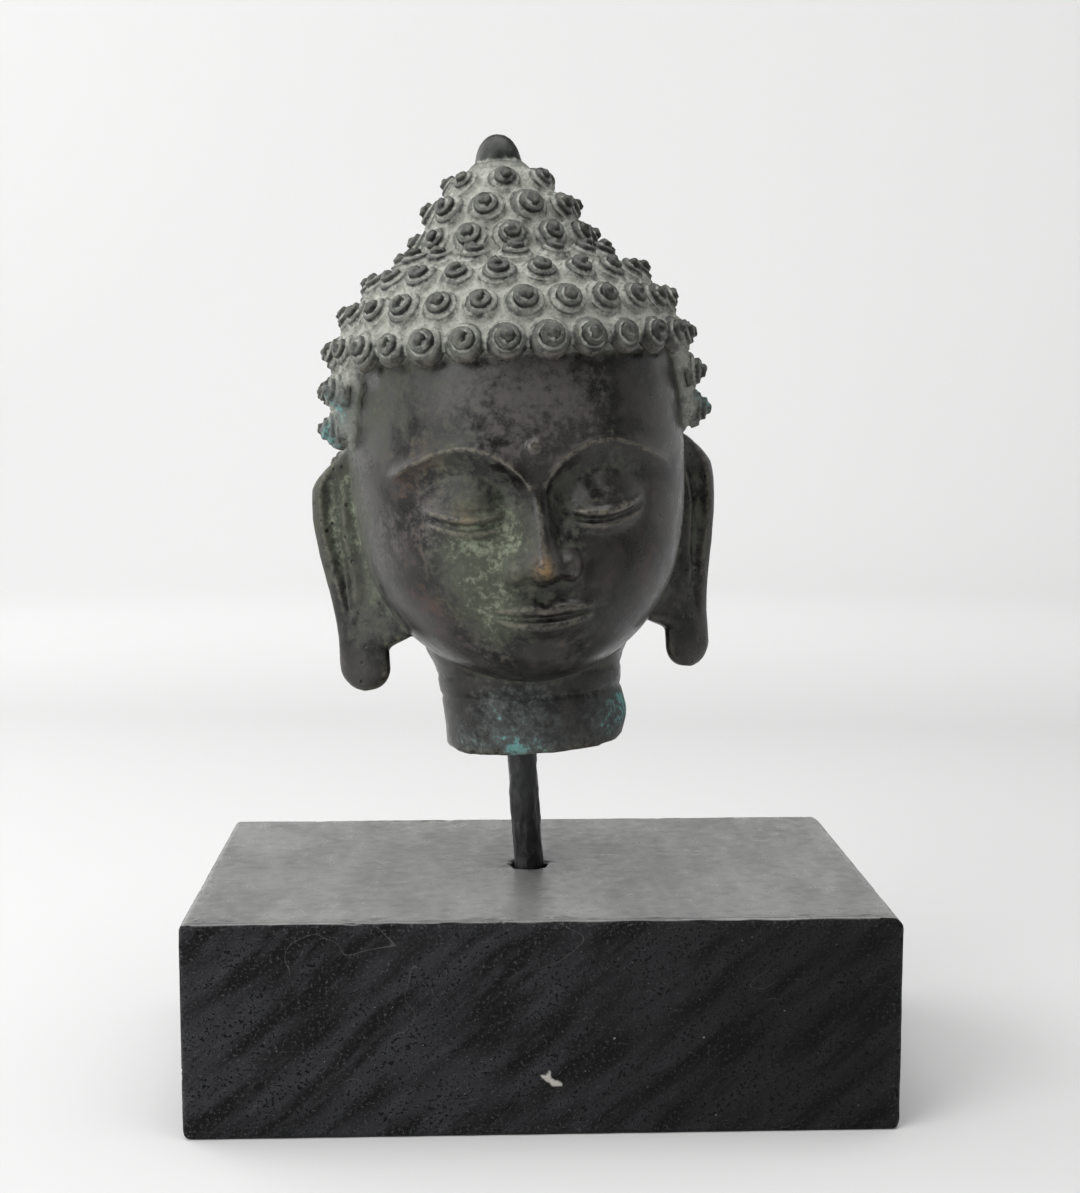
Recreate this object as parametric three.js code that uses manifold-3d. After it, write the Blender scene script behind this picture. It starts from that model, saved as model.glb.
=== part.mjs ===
// A bronze buddha head on an iron rod that stands in a black wooden block.
// Units are millimetres and +Z is up. The origin is the centre of the block's underside, and the
// block's long face looks along -Y. The head is modelled upright in its own frame, whose origin is
// the middle of the neck's cut end, and is then turned a little and leans with the rod.
import * as THREE from "three";
import { mergeVertices } from "three/addons/utils/BufferGeometryUtils.js";
import Module from "manifold-3d";

const wasm = await Module();
wasm.setup();

// Driving dimensions
const BLOCK = { width: 170, depth: 104, height: 52 };
const ROD = { radius: 4, footX: -2, inBlock: 30, inHead: 36 };
const LEAN = THREE.MathUtils.degToRad(3.5); // the rod and the head lean to the left
const TURN = THREE.MathUtils.degToRad(4); // the face is turned a little to the right
const NECK_GAP = 32.5; // from the block's top to the neck's cut end, along the rod
const NECK_OFFSET = 3.5; // the neck's middle lies this far to the right of the rod
const FIT = 0.3; // gap between pieces that touch

// Levels of the head above the neck's cut end. The face is divided in equal thirds.
const HAIRLINE = 99;
const CHIN = 20;
const THIRD = (HAIRLINE - CHIN) / 3;
const BROW = HAIRLINE - THIRD;
const NOSE_BASE = BROW - THIRD;
const EYES = BROW - THIRD / 3;
const MOUTH = NOSE_BASE - THIRD / 3;

// Half widths and depths of the skull, which is widest at its middle level
const SKULL = { middle: 82, top: 126, bottom: 18, side: 42.5, front: 45.5, back: 47.5 };
const EYE_WIDTH = (2 * SKULL.side) / 5;
const MOUTH_HALF = 12.5;
const HAIR_STEP = 3; // the scalp stands this far proud of the brow

const NECK = { side: 22.5, front: 21, back: 21, y: 2, height: 26, wall: 4, hollow: 17 };
const TOPKNOT = { base: 116, top: 147, side: 21.5, crown: 6.5, power: 2.1, foot: 4.5, firstRow: 127.3 };
const FINIAL = { radius: 6, base: 145.5, top: 154.4 };
const EAR = { top: 77.5, bottom: 16, lobe: 42, y: 3.5, flare: THREE.MathUtils.degToRad(38), thick: 2.7 };
const CURL = { radius: 6.7, height: 3.8, sunk: 2.6, pitch: 9.9, row: 9.3, knotRow: 8.4, sides: 5 };

const rise = (a, b, v) => THREE.MathUtils.smoothstep(v, a, b);
const bell = (v, width) => Math.exp(-0.5 * (v / width) ** 2);
const blob = (x, z, width, height) => bell(x, width) * bell(z, height);
const mound = (x, z, a, b) => Math.max(0, 1 - (x / a) ** 2 - (z / b) ** 2);

// Solids and meshes

function solid(geometry) {
  const bare = geometry.index ? geometry.toNonIndexed() : geometry.clone();
  bare.deleteAttribute("normal");
  bare.deleteAttribute("uv");
  const merged = mergeVertices(bare, 1e-4);
  const mesh = new wasm.Mesh({
    numProp: 3,
    vertProperties: merged.attributes.position.array,
    triVerts: new Uint32Array(merged.index.array),
  });
  return new wasm.Manifold(mesh);
}

function geometryOf(manifold) {
  const mesh = manifold.getMesh();
  const geometry = new THREE.BufferGeometry();
  geometry.setAttribute("position", new THREE.BufferAttribute(mesh.vertProperties, 3));
  geometry.setIndex(new THREE.BufferAttribute(mesh.triVerts, 1));
  const flat = geometry.toNonIndexed();
  flat.computeVertexNormals();
  return flat;
}

// A closed skin over a stack of rings, each a list of points in the same turning sense seen from
// above, from the lowest ring to the highest, shut by a point at each end.
function skin(rings) {
  const count = rings[0].length;
  const points = rings.flat();
  const faces = [];
  for (let i = 0; i + 1 < rings.length; i++) {
    for (let j = 0; j < count; j++) {
      const a = i * count + j;
      const b = i * count + ((j + 1) % count);
      faces.push(a, b, b + count, a, b + count, a + count);
    }
  }
  const middle = (ring) => ring.reduce((s, p) => s.add(p), new THREE.Vector3()).divideScalar(count);
  const low = points.push(middle(rings[0])) - 1;
  const high = points.push(middle(rings.at(-1))) - 1;
  const last = (rings.length - 1) * count;
  for (let j = 0; j < count; j++) {
    const next = (j + 1) % count;
    faces.push(low, next, j, high, last + j, last + next);
  }
  return new THREE.BufferGeometry().setFromPoints(points).setIndex(faces);
}

// The skull with its face

// The share of the widest half width that is left at a level
function narrowing(z, power, root) {
  const reach = z > SKULL.middle ? SKULL.top - SKULL.middle : SKULL.middle - SKULL.bottom;
  return (1 - Math.min(1, Math.abs(z - SKULL.middle) / reach) ** power) ** root;
}

// The hair's lower edge at an angle from the face: level over the brow, down at the temples, over
// the ears and down behind them to the nape
function hairEdge(angle) {
  const a = THREE.MathUtils.radToDeg(Math.acos(Math.cos(angle))); // from 0 at the face to 180 behind
  return HAIRLINE - 21 * rise(62, 76, a) - 44 * rise(100, 116, a);
}

function skullPoint(angle, z, proud = 0) {
  const c = Math.cos(angle);
  const above = z > SKULL.middle;
  const side = SKULL.side * (above ? narrowing(z, 2.7, 0.4) : narrowing(z, 3.2, 0.5));
  const front = SKULL.front * (above ? narrowing(z, 2.7, 0.4) : narrowing(z, 6, 1 / 3));
  const back = SKULL.back * (above ? narrowing(z, 2.7, 0.4) : narrowing(z, 2.4, 0.5));
  const depth = c > 0 ? front : back;
  const grow = 1 + proud / SKULL.side;
  return new THREE.Vector3(side * Math.sin(angle) * grow, -depth * c * grow, z);
}

function facePoint(angle, z) {
  const point = skullPoint(angle, z);
  const c = Math.cos(angle);
  if (c > 0) point.y -= relief(point.x, z) * rise(0.05, 0.4, c);
  return point;
}

// The lines that the features follow, each a level at a distance from the middle

function browLine(x) {
  const share = THREE.MathUtils.clamp((Math.abs(x) - 2) / 32, 0, 1);
  return BROW - 4.5 + 9.5 * Math.sin(0.9 * Math.PI * share ** 0.8);
}

function lidLine(x) {
  const a = THREE.MathUtils.clamp((Math.abs(x) - EYE_WIDTH) / (EYE_WIDTH / 2), -1.2, 1.2);
  return EYES - 2.4 - 1.5 * Math.cos((Math.PI / 2) * a) + 0.8 * a;
}

function mouthLine(x) {
  return MOUTH + 1.3 * Math.min(1, Math.abs(x) / MOUTH_HALF) ** 2;
}

// How full the lips are at a distance from the middle, as a share
function lipShare(x) {
  return Math.sqrt(Math.max(0.09, 1 - (x / MOUTH_HALF) ** 2));
}

// How far the features stand proud of the plain face, towards the viewer

function brows(x, z) {
  const a = Math.abs(x);
  return 1.2 * bell(z - browLine(x), 1.4) * rise(0, 5, a) * (1 - rise(30, 36, a));
}

function sockets(x, z) {
  const a = Math.abs(x);
  const under = rise(-1, 4, browLine(x) - z);
  const hollow = 3.2 * blob(a - 16.5, z - EYES - 2, 9.5, 6.5);
  return -under * (hollow + 1.8 * blob(a - 7.5, z - EYES - 2, 3.2, 5));
}

function lids(x, z) {
  const a = (Math.abs(x) - EYE_WIDTH) / (EYE_WIDTH / 2);
  const edge = lidLine(x);
  const within = 1 - rise(0.75, 1.15, Math.abs(a));
  const ball = 4.4 * mound(a, z - EYES + 0.5, 1.22, 8.2) ** 1.3;
  const upper = 0.9 * bell(z - edge - 1.2, 1.1) * within;
  return ball + upper - 1.1 * bell(z - edge + 0.7, 0.8) * within;
}

function nose(x, z) {
  const top = BROW - 2;
  const t = THREE.MathUtils.clamp((top - z) / (top - NOSE_BASE), 0, 1);
  const width = 3.2 + 2.4 * t * t;
  const tip = 1 - 0.55 * (1 - rise(-1.5, 5, z - NOSE_BASE));
  const ridge = (1 + 9.4 * t ** 1.15) * tip * Math.exp(-((Math.abs(x) / width) ** 2.2));
  const wings = 5.2 * mound(Math.abs(x) - 6.2, z - NOSE_BASE - 3, 4.4, 4.6);
  return Math.max(ridge, wings) * rise(-2.2, 1, z - NOSE_BASE) * (1 - rise(-3, 4, z - top));
}

function lips(x, z) {
  const v = Math.min(1, Math.abs(x) / MOUTH_HALF);
  const h = z - mouthLine(x);
  const share = Math.abs(h) / ((h > 0 ? 4.2 : 5) * lipShare(x));
  const full = share < 1 ? Math.sin(Math.PI * (0.1 + 0.9 * share)) : 0;
  return 2.3 * full * (1 - v ** 4);
}

function relief(x, z) {
  const muzzle = 2.6 * blob(x, z - MOUTH, 12, 8);
  const chin = 3.2 * blob(x, z - CHIN - 5.5, 8, 4.5);
  const fold = -1.2 * blob(x, z - MOUTH + 7.2, 7, 1.8);
  const cheeks = 1.6 * blob(Math.abs(x) - 24, z - NOSE_BASE, 9, 10);
  const broad = muzzle + chin + fold + cheeks;
  return broad + brows(x, z) + sockets(x, z) + lids(x, z) + nose(x, z) + lips(x, z);
}

// The levels of one column's points, from under the chin to above the hairline. They run along the
// mouth, the lids and the brows, so that a few rows give each feature its edge.
function faceLevels(x) {
  const [lid, brow, mouth, full] = [lidLine(x), browLine(x), mouthLine(x), lipShare(x)];
  const under = [0.25, 0.9, 2.2, 4.4].map((h) => SKULL.bottom + h);
  const chin = [4.8, 7.6].map((h) => CHIN + h);
  const lip = [-5, -3.6, -1.8, 0, 1.6, 3.2, 4.2].map((h) => mouth + h * full);
  const nostrils = [-2, -0.6, 1.2, 3.2, 5.6].map((h) => NOSE_BASE + h);
  const cheek = [0.4, 0.75].map((t) => THREE.MathUtils.lerp(NOSE_BASE + 5.6, lid - 3, t));
  const eye = [-3, -1.7, -0.7, 0.2, 1.2].map((h) => lid + h);
  const socket = [0.24, 0.44, 0.62, 0.8, 0.92].map((t) => THREE.MathUtils.lerp(lid + 1.2, brow, t));
  const above = [0.3, 1.8, 4].map((h) => brow + h);
  const forehead = [86, 92.5, HAIRLINE, HAIRLINE + 5];
  return [under, chin, MOUTH - 7.4, lip, nostrils, cheek, eye, socket, above, forehead].flat();
}

function face() {
  const count = 44;
  const columns = Array.from({ length: count }, (_, j) => {
    const turn = (2 * Math.PI * j) / count;
    const angle = turn - 0.66 * Math.sin(turn); // closer together on the face than behind
    return faceLevels(SKULL.side * Math.sin(angle)).map((z) => facePoint(angle, z));
  });
  return solid(skin(columns[0].map((_, i) => columns.map((column) => column[i]))));
}

// The scalp is a second skin over the skull, from the hair's edge to the crown, a step proud of it.
const scalpAt = (angle, z) => skullPoint(angle, Math.min(z, SKULL.top - 0.01), HAIR_STEP);

function scalp() {
  const [columns, rows] = [24, 7];
  const rings = Array.from({ length: rows + 1 }, (_, i) => {
    const share = Math.sin((i / rows) * (Math.PI / 2));
    return Array.from({ length: columns }, (_, j) => {
      const angle = (2 * Math.PI * j) / columns;
      const edge = hairEdge(angle);
      return scalpAt(angle, edge + (SKULL.top - 0.4 - edge) * share);
    });
  });
  return solid(skin(rings));
}

// The topknot, a tapering mound on the crown with a plain bud on its tip

function topknotRadius(z) {
  const share = Math.max(0, (z - TOPKNOT.base) / (TOPKNOT.top - TOPKNOT.base));
  const taper = (TOPKNOT.side - TOPKNOT.crown) * share ** TOPKNOT.power;
  return TOPKNOT.side - taper + TOPKNOT.foot * bell(z - TOPKNOT.base, 6);
}

function topknot() {
  const levels = [0, 5, 10, 15, 20, 26, 31].map((h) => TOPKNOT.base + h);
  const profile = levels.map((z) => new THREE.Vector2(topknotRadius(z), z));
  const outline = [new THREE.Vector2(0, TOPKNOT.base), ...profile, new THREE.Vector2(0, TOPKNOT.top)];
  return solid(new THREE.LatheGeometry(outline, 18).rotateX(Math.PI / 2));
}

function finial() {
  const { radius, base, top } = FINIAL;
  const height = top - base;
  const outline = [new THREE.Vector2(0, base - 2), new THREE.Vector2(radius * 0.93, base - 2)];
  for (let i = 0; i <= 6; i++) {
    const a = (i / 6) * (Math.PI / 2);
    outline.push(new THREE.Vector2(i < 6 ? radius * Math.cos(a) : 0, base + height * Math.sin(a)));
  }
  return solid(new THREE.LatheGeometry(outline, 12).rotateX(Math.PI / 2));
}

// The neck, cut off below, where the hollow casting shows its wall. Its rim spreads a little on
// the right.

function neckPoint(angle, z, inset) {
  const c = Math.cos(angle);
  const waist = 1.8 * rise(4, NECK.height, z);
  const spread = 2 * bell(angle - 1.45, 0.5) * bell(z - 6.5, 3.8);
  const grow = waist + (inset ? -inset : spread);
  const depth = c > 0 ? NECK.front : NECK.back;
  return new THREE.Vector3((NECK.side + grow) * Math.sin(angle), NECK.y - (depth + grow) * c, z);
}

function neckSkin(levels, inset) {
  const count = 26;
  const angles = Array.from({ length: count }, (_, j) => (2 * Math.PI * j) / count);
  return solid(skin(levels.map((z) => angles.map((a) => neckPoint(a, z, inset)))));
}

// The ears. Each is a stack of flat ovals in one flared plane, from the lobe's tip to the top: a long
// lobe that hangs free, and above it a broad shell that is hollowed inside its rim.

function earRing(share) {
  const z = EAR.bottom + (EAR.top - EAR.bottom) * share;
  const tip = Math.sqrt(Math.max(0.02, 1 - (1 - Math.min(1, share / 0.1)) ** 2));
  const top = Math.sqrt(Math.max(0.02, 1 - Math.max(0, (share - 0.78) / 0.22) ** 2));
  const outer = 48.2 + 4.4 * rise(0.2, 0.75, share) - 3.5 * rise(0.85, 1, share);
  const inner = 35.6 - 6 * rise(0.19, 0.23, share) + 5 * rise(0.4, 0.75, share);
  const half = ((outer - inner) / 2 / Math.cos(EAR.flare)) * tip * top;
  const thick = EAR.thick * (0.4 + 0.6 * tip * top);
  const hollow = 2.4 * rise(0.34, 0.46, share) * (1 - rise(0.88, 0.96, share));
  const middle = (outer + inner) / 2;
  const forward = EAR.y + (middle - EAR.lobe) * Math.tan(EAR.flare);
  const count = 12;
  return Array.from({ length: count }, (_, j) => {
    const a = (2 * Math.PI * j) / count;
    const along = half * Math.cos(a);
    const bowl = Math.sin(a) > 0 ? hollow * bell(Math.cos(a) - 0.05, 0.42) : 0;
    const across = thick * Math.sin(a) - bowl;
    return new THREE.Vector3(
      middle + along * Math.cos(EAR.flare) + across * Math.sin(EAR.flare),
      forward + along * Math.sin(EAR.flare) - across * Math.cos(EAR.flare),
      z,
    );
  });
}

function ear() {
  const shares = [0, 0.03, 0.09, 0.18, 0.23, 0.34, 0.46, 0.58, 0.7, 0.8, 0.88, 0.94, 0.98, 1];
  return solid(skin(shares.map((share) => earRing(share).reverse())));
}

// The curls, in staggered rings round the skull and the topknot

function ringOf(pointAt, z) {
  const steps = 180;
  const points = Array.from({ length: steps + 1 }, (_, i) => pointAt((2 * Math.PI * i) / steps, z));
  const lengths = [0];
  for (let i = 1; i <= steps; i++) lengths.push(lengths[i - 1] + points[i].distanceTo(points[i - 1]));
  const total = lengths[steps];
  const angleAt = (length) => {
    const i = Math.max(1, lengths.findIndex((l) => l >= length));
    const share = (length - lengths[i - 1]) / (lengths[i] - lengths[i - 1]);
    return (2 * Math.PI * (i - 1 + share)) / steps;
  };
  return { total, angleAt };
}

// Levels one row apart along the side of a form, from one level towards another
function rowsAlong(pointAt, row, from, to) {
  const levels = [from];
  const step = to > from ? 0.1 : -0.1;
  let walked = 0;
  for (let z = from; (to - z) * step > 0; z += step) {
    walked += pointAt(Math.PI / 2, z).distanceTo(pointAt(Math.PI / 2, z + step));
    if (walked >= row) {
      levels.push(z + step);
      walked = 0;
    }
  }
  return levels;
}

function curlFrames(pointAt, levels, covered) {
  const frames = [];
  levels.forEach((z, row) => {
    const ring = ringOf(pointAt, z);
    const count = Math.round(ring.total / CURL.pitch);
    for (let k = 0; k < count; k++) {
      const angle = ring.angleAt(((k + (row % 2) / 2) / count) * ring.total);
      if (!covered(angle, z)) continue;
      const at = pointAt(angle, z);
      const east = pointAt(angle + 0.02, z).sub(pointAt(angle - 0.02, z));
      const north = pointAt(angle, z + 0.3).sub(pointAt(angle, z - 0.3));
      frames.push({ at, normal: east.cross(north).normalize() });
    }
  });
  return frames;
}

const topknotAt = (angle, z) => {
  const r = topknotRadius(z);
  return new THREE.Vector3(r * Math.sin(angle), -r * Math.cos(angle), z);
};

function curlPlaces() {
  const hairy = (angle, z) => z >= hairEdge(angle) + 1.5;
  const first = HAIRLINE + 3;
  const beside = (angle, z) => scalpAt(angle, z).setZ(0).length() > topknotRadius(z);
  const clear = (angle, z) => hairy(angle, z) && beside(angle, z);
  const upper = rowsAlong(scalpAt, CURL.row, first, SKULL.top - 2.5);
  const lower = rowsAlong(scalpAt, CURL.row, first, 36).slice(1);
  const rows = [...lower.reverse(), ...upper];
  const knot = rowsAlong(topknotAt, CURL.knotRow, TOPKNOT.firstRow, TOPKNOT.top - 1);
  return [...curlFrames(scalpAt, rows, clear), ...curlFrames(topknotAt, knot, () => true)];
}

function curl({ at, normal }) {
  const length = CURL.height + CURL.sunk;
  const cone = new THREE.ConeGeometry(CURL.radius, length, CURL.sides);
  cone.translate(0, length / 2 - CURL.sunk, 0);
  cone.applyQuaternion(new THREE.Quaternion().setFromUnitVectors(new THREE.Vector3(0, 1, 0), normal));
  return solid(cone.translate(at.x, at.y, at.z));
}

// The whole casting in its own frame

function head() {
  let cast = face().add(scalp()).add(topknot()).add(finial());
  cast = cast.add(neckSkin([0, 3, 6.5, 10, 14, NECK.height], 0));
  cast = cast.subtract(neckSkin([-1, 3, NECK.hollow], NECK.wall));
  const right = ear();
  cast = cast.add(right).add(right.scale([-1, 1, 1]));

  for (const place of curlPlaces()) cast = cast.add(curl(place));
  return cast;
}

// The rod and the block

function rod(extra) {
  const length = ROD.inBlock + NECK_GAP + ROD.inHead;
  const bar = new THREE.CylinderGeometry(ROD.radius + extra, ROD.radius + extra, length + 2 * extra, 24);
  return bar.rotateX(Math.PI / 2).translate(0, 0, length / 2 - ROD.inBlock);
}

// A rectangle with its own radius at each corner, from the lower left one anticlockwise
function roundedRectangle(width, height, radii) {
  const [x, y] = [width / 2, height / 2];
  const corners = [[-x, -y, Math.PI], [x, -y, 1.5 * Math.PI], [x, y, 0], [-x, y, 0.5 * Math.PI]];
  const shape = new THREE.Shape();
  corners.forEach(([cx, cy, start], i) => {
    const r = radii[i];
    shape.absarc(cx - Math.sign(cx) * r, cy - Math.sign(cy) * r, r, start, start + Math.PI / 2);
  });
  return shape;
}

function slab(width, height, length, radii) {
  const shape = roundedRectangle(width, height, radii);
  const options = { depth: length, bevelEnabled: false, curveSegments: 4 };
  return new THREE.ExtrudeGeometry(shape, options).translate(0, 0, -length / 2);
}

function block(hole) {
  const { width, depth, height } = BLOCK;
  const long = Math.max(width, depth) + 10;
  const front = slab(width, height, long, [2.5, 3, 4, 2]).rotateX(Math.PI / 2);
  const plan = slab(width, depth, long, [1.5, 2, 7, 3]);
  const end = slab(depth, height, long, [1, 1, 2, 1.2]).rotateX(Math.PI / 2).rotateZ(Math.PI / 2);
  const body = solid(front).intersect(solid(plan)).intersect(solid(end));
  return body.translate([0, 0, height / 2]).subtract(hole);
}

// Assembly

function placed(manifold, matrix) {
  return manifold.transform(matrix.elements);
}

const bronze = new THREE.MeshStandardMaterial({ color: 0x2f2d28, roughness: 0.42, metalness: 0.6 });
const blackIron = new THREE.MeshStandardMaterial({ color: 0x0d0d0e, roughness: 0.6, metalness: 0.3 });
const ebonised = new THREE.MeshStandardMaterial({ color: 0x2b2b2d, roughness: 0.6, metalness: 0 });

const upright = new THREE.Matrix4().makeRotationY(-LEAN).setPosition(ROD.footX, 0, BLOCK.height);
const headPlace = upright.clone();
headPlace.multiply(new THREE.Matrix4().makeTranslation(NECK_OFFSET, 0, NECK_GAP));
headPlace.multiply(new THREE.Matrix4().makeRotationZ(TURN));

const bore = placed(solid(rod(FIT)), upright);

function named(name, manifold, material) {
  const mesh = new THREE.Mesh(geometryOf(manifold), material);
  mesh.name = name;
  return mesh;
}

const buddhaHead = new THREE.Group();
buddhaHead.add(named("head", placed(head(), headPlace).subtract(bore), bronze));
buddhaHead.add(named("rod", placed(solid(rod(0)), upright), blackIron));
buddhaHead.add(named("block", block(bore), ebonised));

export default buddhaHead;
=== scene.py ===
import math

import bpy
import numpy as np
from mathutils import Matrix, Vector, noise
from mathutils.bvhtree import BVHTree
from mathutils.kdtree import KDTree


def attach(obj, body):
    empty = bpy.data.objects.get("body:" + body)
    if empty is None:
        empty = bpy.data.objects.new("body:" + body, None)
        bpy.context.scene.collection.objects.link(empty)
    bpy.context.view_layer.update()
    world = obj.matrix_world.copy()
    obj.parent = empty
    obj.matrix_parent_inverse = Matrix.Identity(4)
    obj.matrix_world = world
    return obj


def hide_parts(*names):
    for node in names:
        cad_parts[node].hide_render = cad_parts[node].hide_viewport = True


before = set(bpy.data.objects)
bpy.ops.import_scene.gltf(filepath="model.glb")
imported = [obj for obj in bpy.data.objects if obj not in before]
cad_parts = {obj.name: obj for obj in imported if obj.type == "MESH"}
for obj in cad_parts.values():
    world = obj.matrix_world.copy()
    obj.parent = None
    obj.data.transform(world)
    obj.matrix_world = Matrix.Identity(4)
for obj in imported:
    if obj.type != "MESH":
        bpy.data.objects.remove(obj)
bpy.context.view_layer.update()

# The bronze head
# One hollow casting of the head: face, ears, rows of snail curls, topknot, bud and cut neck. Its forms
# are made apart and melted into one skin, as the wax model was, and the skin is then marked by age.
# Its lengths are millimetres in the head's own upright frame, which starts at the neck's cut end.
# Angles round the head start at the face and go towards its left ear.

MM = 0.001
LEAN = math.radians(3.5)
TURN = math.radians(4)
ROD_FOOT = (-2.0, 0.0, 52.0)
NECK_GAP = 32.5
NECK_OFFSET = 3.5
ROD_FRAME = Matrix.Scale(MM, 4) @ Matrix.Translation(ROD_FOOT) @ Matrix.Rotation(-LEAN, 4, "Y")
HEAD_FRAME = ROD_FRAME @ Matrix.Translation((NECK_OFFSET, 0, NECK_GAP)) @ Matrix.Rotation(TURN, 4, "Z")

HAIRLINE = 99.0
CHIN = 20.0
THIRD = (HAIRLINE - CHIN) / 3
BROW = HAIRLINE - THIRD
NOSE_BASE = BROW - THIRD
EYES = BROW - THIRD / 3
MOUTH = NOSE_BASE - THIRD / 3

SKULL_MIDDLE, SKULL_TOP, SKULL_BOTTOM = 82.0, 126.0, 18.0
SKULL_SIDE, SKULL_FRONT, SKULL_BACK = 42.5, 45.5, 47.5
EYE_WIDTH = 2 * SKULL_SIDE / 5
MOUTH_HALF = 12.5
HAIR_STEP = 3.0

NECK_SIDE, NECK_DEPTH, NECK_Y = 22.5, 21.0, 2.0
NECK_TOP, NECK_WALL, NECK_HOLLOW = 26.0, 4.0, 17.0
KNOT_BASE, KNOT_TOP, KNOT_SIDE, KNOT_CROWN, KNOT_POWER, KNOT_FOOT = 116.0, 147.0, 21.5, 6.5, 2.1, 4.5
FINIAL_RADIUS, FINIAL_BASE, FINIAL_TOP = 6.0, 145.5, 154.4
EAR_TOP, EAR_BOTTOM, EAR_LOBE, EAR_Y, EAR_THICK = 77.5, 16.0, 42.0, 3.5, 2.7
EAR_FLARE = math.radians(38)
CURL_PITCH, CURL_ROW, KNOT_ROW, KNOT_FIRST_ROW = 9.9, 9.3, 8.4, 127.3
FIRST_ROW, LAST_ROW = HAIRLINE + 3, 36.0


def rise(low, high, value):
    """A smooth step from 0 at low to 1 at high."""
    share = np.clip((value - low) / (high - low), 0, 1)
    return share * share * (3 - 2 * share)


def bell(value, width):
    """A soft bump of height 1 at 0."""
    return np.exp(-0.5 * (value / width) ** 2)


def blob(x, z, width, height):
    """A soft bump in two directions, for forms that fade into the skin."""
    return bell(x, width) * bell(z, height)


def mound(x, z, width, height):
    """A dome with a clear edge, for forms that end in a line."""
    return np.maximum(0, 1 - (x / width) ** 2 - (z / height) ** 2)


def narrowing(z, power, root):
    """The share of the skull's widest half width that is left at a level."""
    reach = np.where(z > SKULL_MIDDLE, SKULL_TOP - SKULL_MIDDLE, SKULL_MIDDLE - SKULL_BOTTOM)
    return (1 - np.minimum(1, np.abs(z - SKULL_MIDDLE) / reach) ** power) ** root


def hair_edge(angle):
    """The hair's lower edge: level over the brow, down at the temples, over the ears, to the nape."""
    degrees = np.degrees(np.arccos(np.cos(angle)))
    return HAIRLINE - 21 * rise(62, 76, degrees) - 44 * rise(100, 116, degrees)


def skull_point(angle, z, proud=0.0):
    """Points of the plain skull at angles and levels, with the skull grown by a length."""
    angle, z = np.broadcast_arrays(np.asarray(angle, float), np.asarray(z, float))
    above = z > SKULL_MIDDLE
    crown = narrowing(z, 2.7, 0.4)
    side = SKULL_SIDE * np.where(above, crown, narrowing(z, 3.2, 0.5))
    front = SKULL_FRONT * np.where(above, crown, narrowing(z, 6, 1 / 3))
    back = SKULL_BACK * np.where(above, crown, narrowing(z, 2.4, 0.5))
    depth = np.where(np.cos(angle) > 0, front, back)
    grow = 1 + proud / SKULL_SIDE
    return np.stack([side * np.sin(angle) * grow, -depth * np.cos(angle) * grow, z], -1)


def brow_line(x):
    """The level of the brow's arch, from the root of the nose out to the temple."""
    share = np.clip((np.abs(x) - 2) / 32, 0, 1)
    return BROW - 4.5 + 9.5 * np.sin(0.9 * np.pi * share**0.8)


def lid_line(x):
    """The level where the lowered upper lid meets the lower one."""
    a = np.clip((np.abs(x) - EYE_WIDTH) / (EYE_WIDTH / 2), -1.2, 1.2)
    return EYES - 2.4 - 1.5 * np.cos(np.pi / 2 * a) + 0.8 * a


def mouth_line(x):
    return MOUTH + 1.3 * np.minimum(1, np.abs(x) / MOUTH_HALF) ** 2


def brows(x, z):
    """A low roll along each brow, with a fine crest on it."""
    a = np.abs(x)
    within = rise(0, 5, a) * (1 - rise(31, 35, a))
    return within * (0.5 * bell(z - brow_line(x), 1.7) + 0.75 * bell(z - brow_line(x), 0.6))


def sockets(x, z):
    """The hollow under each brow, deepest beside the nose."""
    a = np.abs(x)
    under = rise(-1, 4, brow_line(x) - z)
    hollow = 3.2 * blob(a - 16.5, z - EYES - 2, 9.5, 6.5)
    return -under * (hollow + 1.8 * blob(a - 7.5, z - EYES - 2, 3.2, 5))


def lids(x, z):
    """Each eyeball under its lids: the rim, the slit, the lower lid and the crease above."""
    a = (np.abs(x) - EYE_WIDTH) / (EYE_WIDTH / 2)
    edge = lid_line(x)
    within = 1 - rise(0.8, 1.15, np.abs(a))
    ball = 4.4 * mound(a, z - EYES + 0.5, 1.22, 8.2) ** 1.3
    rim = 0.8 * bell(z - edge - 1.1, 0.75) * within
    slit = -1.5 * bell(z - edge + 0.5, 0.55) * within
    lower = 0.55 * bell(z - edge + 2.3, 0.7) * within
    crease = -0.5 * bell(z - edge - 3.1 + 0.8 * np.abs(a), 0.45) * within
    return ball + rim + slit + lower + crease


def nose(x, z):
    """The ridge that rises towards the tip, the wings, the nostrils and the grooves beside them."""
    top = BROW - 2
    a = np.abs(x)
    t = np.clip((top - z) / (top - NOSE_BASE), 0, 1)
    tip = 1 - 0.55 * (1 - rise(-1.5, 5, z - NOSE_BASE))
    ridge = (1 + 9.4 * t**1.15) * tip * np.exp(-((a / (3.2 + 2.4 * t * t)) ** 2.2))
    wings = 4.8 * mound(a - 6.0, z - NOSE_BASE - 3.2, 4.2, 4.8)
    nostril = -1.8 * blob(a - 3.9, z - NOSE_BASE + 0.2, 1.2, 0.9)
    groove = -0.4 * blob(a - 10.2, z - NOSE_BASE - 3.6, 1.3, 3.0)
    whole = (ridge**3 + wings**3) ** (1 / 3)
    return whole * rise(-2.2, 1, z - NOSE_BASE) * (1 - rise(-3, 4, z - top)) + nostril + groove


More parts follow.
